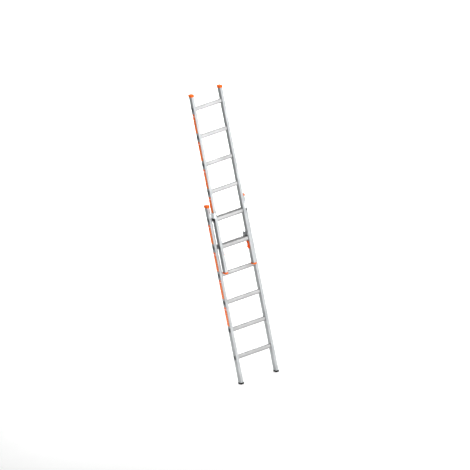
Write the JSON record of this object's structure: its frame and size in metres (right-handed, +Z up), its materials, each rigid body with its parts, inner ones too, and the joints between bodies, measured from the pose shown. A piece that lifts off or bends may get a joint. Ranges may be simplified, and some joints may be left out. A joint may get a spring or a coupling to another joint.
{
  "type": "extension ladder",
  "caption": "Two-section aluminium extension ladder: a narrow fly section slides up in front of a wide base and hangs on its rungs by hooks with sprung safety latches.",
  "frame": {"origin": "on the ground under the middle of the ladder, between the feet of the base section", "axes": "+Z up along the stiles, +X across the ladder to the right of a climber, +Y away from the climber"},
  "size_m": [0.4376, 0.1098, 2.942],
  "materials": {
    "stile_aluminium": "extruded, mill finish",
    "rung_aluminium": "drawn tube, ribbed tread",
    "cap_plastic": "moulded, satin",
    "latch_plastic": "moulded, satin",
    "foot_rubber": "moulded, matte",
    "glide_plastic": "moulded, fine grain",
    "strap_metal": "bent strip, zinc plated",
    "hook_metal": "pressed plate, tumbled",
    "rivet_metal": "blind rivets",
    "spring_steel": "drawn wire and turned pin",
    "label_film": "printed film"
  },
  "bodies": {
    "base": {"base_cap_left": "cap_plastic", "base_cap_right": "cap_plastic", "base_foot_left": "foot_rubber", "base_foot_right": "foot_rubber", "base_label_3": "label_film", "base_label_4": "label_film", "base_label_5": "label_film", "base_label_6": "label_film", "base_rung_1": "rung_aluminium", "base_rung_2": "rung_aluminium", "base_rung_3": "rung_aluminium", "base_rung_4": "rung_aluminium", "base_rung_5": "rung_aluminium", "base_rung_6": "rung_aluminium", "base_stile_left": "stile_aluminium", "base_stile_right": "stile_aluminium", "guide_block_left": "glide_plastic", "guide_block_right": "glide_plastic", "guide_rivets_left": "rivet_metal", "guide_rivets_right": "rivet_metal", "guide_strap_left": "strap_metal", "guide_strap_right": "strap_metal"},
    "fly": {"fly_cap_left": "cap_plastic", "fly_cap_right": "cap_plastic", "fly_foot_left": "cap_plastic", "fly_foot_right": "cap_plastic", "fly_label_3": "label_film", "fly_label_4": "label_film", "fly_label_5": "label_film", "fly_label_6": "label_film", "fly_rung_1": "rung_aluminium", "fly_rung_2": "rung_aluminium", "fly_rung_3": "rung_aluminium", "fly_rung_4": "rung_aluminium", "fly_rung_5": "rung_aluminium", "fly_rung_6": "rung_aluminium", "fly_stile_left": "stile_aluminium", "fly_stile_right": "stile_aluminium", "hook_left": "hook_metal", "hook_right": "hook_metal", "hook_rivets_left": "rivet_metal", "hook_rivets_right": "rivet_metal", "latch_pin_left": "spring_steel", "latch_pin_right": "spring_steel", "latch_spring_left": "spring_steel", "latch_spring_right": "spring_steel"},
    "latch_left": {"latch_left": "latch_plastic"},
    "latch_right": {"latch_right": "latch_plastic"}
  },
  "joints": [
    {"name": "fly_slide", "type": "slide", "parent": "base", "child": "fly", "axis": [0, 0, 1], "range_m": [-1.12, 0]},
    {"name": "latch_left_swing", "type": "hinge", "parent": "fly", "child": "latch_left", "pos_m": [-0.143, -0.019, 1.33], "axis": [1, 0, 0], "range_deg": [0, 12], "stiffness_Nm_per_rad": 0.15, "springref_deg": -20.05},
    {"name": "latch_right_swing", "type": "hinge", "parent": "fly", "child": "latch_right", "pos_m": [0.143, -0.019, 1.33], "axis": [1, 0, 0], "range_deg": [0, 12], "stiffness_Nm_per_rad": 0.15, "springref_deg": -20.05}
  ]
}
